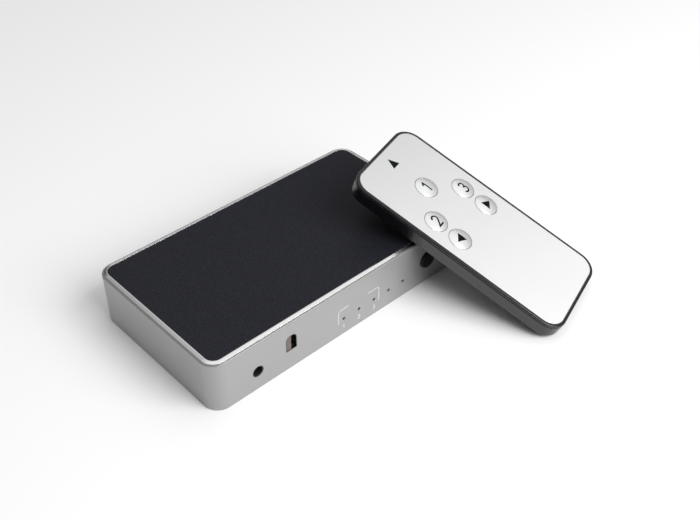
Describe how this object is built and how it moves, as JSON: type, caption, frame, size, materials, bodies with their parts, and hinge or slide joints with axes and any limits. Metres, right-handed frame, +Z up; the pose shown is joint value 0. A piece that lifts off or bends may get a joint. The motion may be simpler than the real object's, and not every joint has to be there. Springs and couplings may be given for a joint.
{
  "type": "hdmi switch",
  "caption": "Flat silver video switch with a black top, front lamps and select button, rear sockets, and its card remote leaning on one corner.",
  "frame": {"origin": "centre of the switch case's base, on the surface it stands on", "axes": "+X along the case's long side, to the right as seen from the front; -Y is the front face with the lamps and button; +Z up"},
  "size_m": [0.139, 0.114, 0.0392],
  "materials": {
    "case_silver": "satin blasted and anodised",
    "bright_edge": "diamond cut, bright",
    "panel_black": "satin with a fine grain",
    "adhesive": "matt film",
    "plate_grey": "fine matt powder coat",
    "screw_steel": "nickel plated",
    "board_green": "solder mask",
    "socket_black": "moulded",
    "tin": "tinned sheet",
    "receiver_dark": "dark tinted moulding",
    "shade_brown": "brown-grey moulding",
    "guide_smoke": "smoked clear moulding",
    "lamp_white": "clear resin over phosphor",
    "button_black": "moulded, slightly glossy",
    "socket_steel": "nickel plated sheet",
    "gold": "gold plated",
    "chip_black": "moulded package",
    "ceramic_tan": "fired ceramic",
    "remote_dark": "dark charcoal, half gloss",
    "remote_rim": "charcoal, half gloss",
    "overlay_silver": "satin silver film",
    "key_white": "silver white film over a dome",
    "emitter_blue": "tinted resin",
    "window_dark": "infrared-clear dark acrylic",
    "cell_steel": "nickel plated"
  },
  "bodies": {
    "switch": {"case_shell": "case_silver", "rear_panel": "case_silver", "top_frame": "bright_edge", "top_panel": "panel_black", "panel_adhesive": "adhesive", "base_plate": "plate_grey", "base_screws": "screw_steel", "board_screws": "screw_steel", "main_board": "board_green", "ir_jack_housing": "socket_black", "ir_jack_tabs": "tin", "ir_receiver": "receiver_dark", "receiver_shade": "shade_brown", "ir_receiver_leads": "tin", "light_guide": "guide_smoke", "indicator_leds": "lamp_white", "select_switch_housing": "socket_black", "select_switch_cover": "tin", "power_socket_shell": "socket_steel", "power_socket_tongue": "socket_black", "switch_chip": "chip_black", "control_chip": "chip_black", "crystal": "tin", "regulator": "chip_black", "power_inductor": "chip_black", "protection_chips": "chip_black", "capacitors": "ceramic_tan", "video_in_1_shell": "socket_steel", "video_in_1_tongue": "socket_black", "video_in_1_contacts": "gold", "video_in_2_shell": "socket_steel", "video_in_2_tongue": "socket_black", "video_in_2_contacts": "gold", "video_in_3_shell": "socket_steel", "video_in_3_tongue": "socket_black", "video_in_3_contacts": "gold", "video_out_shell": "socket_steel", "video_out_tongue": "socket_black", "video_out_contacts": "gold"},
    "select_button": {"select_button": "button_black", "select_switch_plunger": "button_black"},
    "remote": {"remote_bottom_shell": "remote_dark", "remote_top_shell": "remote_rim", "remote_overlay": "overlay_silver", "remote_card": "board_green", "remote_snap_domes": "tin", "remote_chip": "chip_black", "remote_resonator": "ceramic_tan", "remote_emitter": "emitter_blue", "remote_emitter_leads": "tin", "remote_window": "window_dark", "remote_battery_contacts": "tin"},
    "remote_tray": {"remote_battery_tray": "remote_dark", "remote_coin_cell": "cell_steel"},
    "remote_key_1": {"remote_key_1": "key_white"},
    "remote_key_2": {"remote_key_2": "key_white"},
    "remote_key_3": {"remote_key_3": "key_white"},
    "remote_key_back": {"remote_key_back": "key_white"},
    "remote_key_next": {"remote_key_next": "key_white"}
  },
  "joints": [
    {"name": "select_press", "type": "slide", "parent": "switch", "child": "select_button", "axis": [0, 1, 0], "range_m": [0, 0.0004], "stiffness_N_per_m": 1500},
    {"name": "remote_lift", "type": "slide", "parent": "switch", "child": "remote", "axis": [0, 0, 1], "range_m": [0, 0.06]},
    {"name": "key_1_press", "type": "slide", "parent": "remote", "child": "remote_key_1", "axis": [-0.1197, 0.3764, -0.9187], "range_m": [0, 0.0004], "stiffness_N_per_m": 1200},
    {"name": "key_2_press", "type": "slide", "parent": "remote", "child": "remote_key_2", "axis": [-0.1197, 0.3764, -0.9187], "range_m": [0, 0.0004], "stiffness_N_per_m": 1200},
    {"name": "key_3_press", "type": "slide", "parent": "remote", "child": "remote_key_3", "axis": [-0.1197, 0.3764, -0.9187], "range_m": [0, 0.0004], "stiffness_N_per_m": 1200},
    {"name": "key_back_press", "type": "slide", "parent": "remote", "child": "remote_key_back", "axis": [-0.1197, 0.3764, -0.9187], "range_m": [0, 0.0004], "stiffness_N_per_m": 1200},
    {"name": "key_next_press", "type": "slide", "parent": "remote", "child": "remote_key_next", "axis": [-0.1197, 0.3764, -0.9187], "range_m": [0, 0.0004], "stiffness_N_per_m": 1200},
    {"name": "tray_slide", "type": "slide", "parent": "remote", "child": "remote_tray", "axis": [0.2786, -0.8755, -0.3949], "range_m": [0, 0.03]}
  ]
}
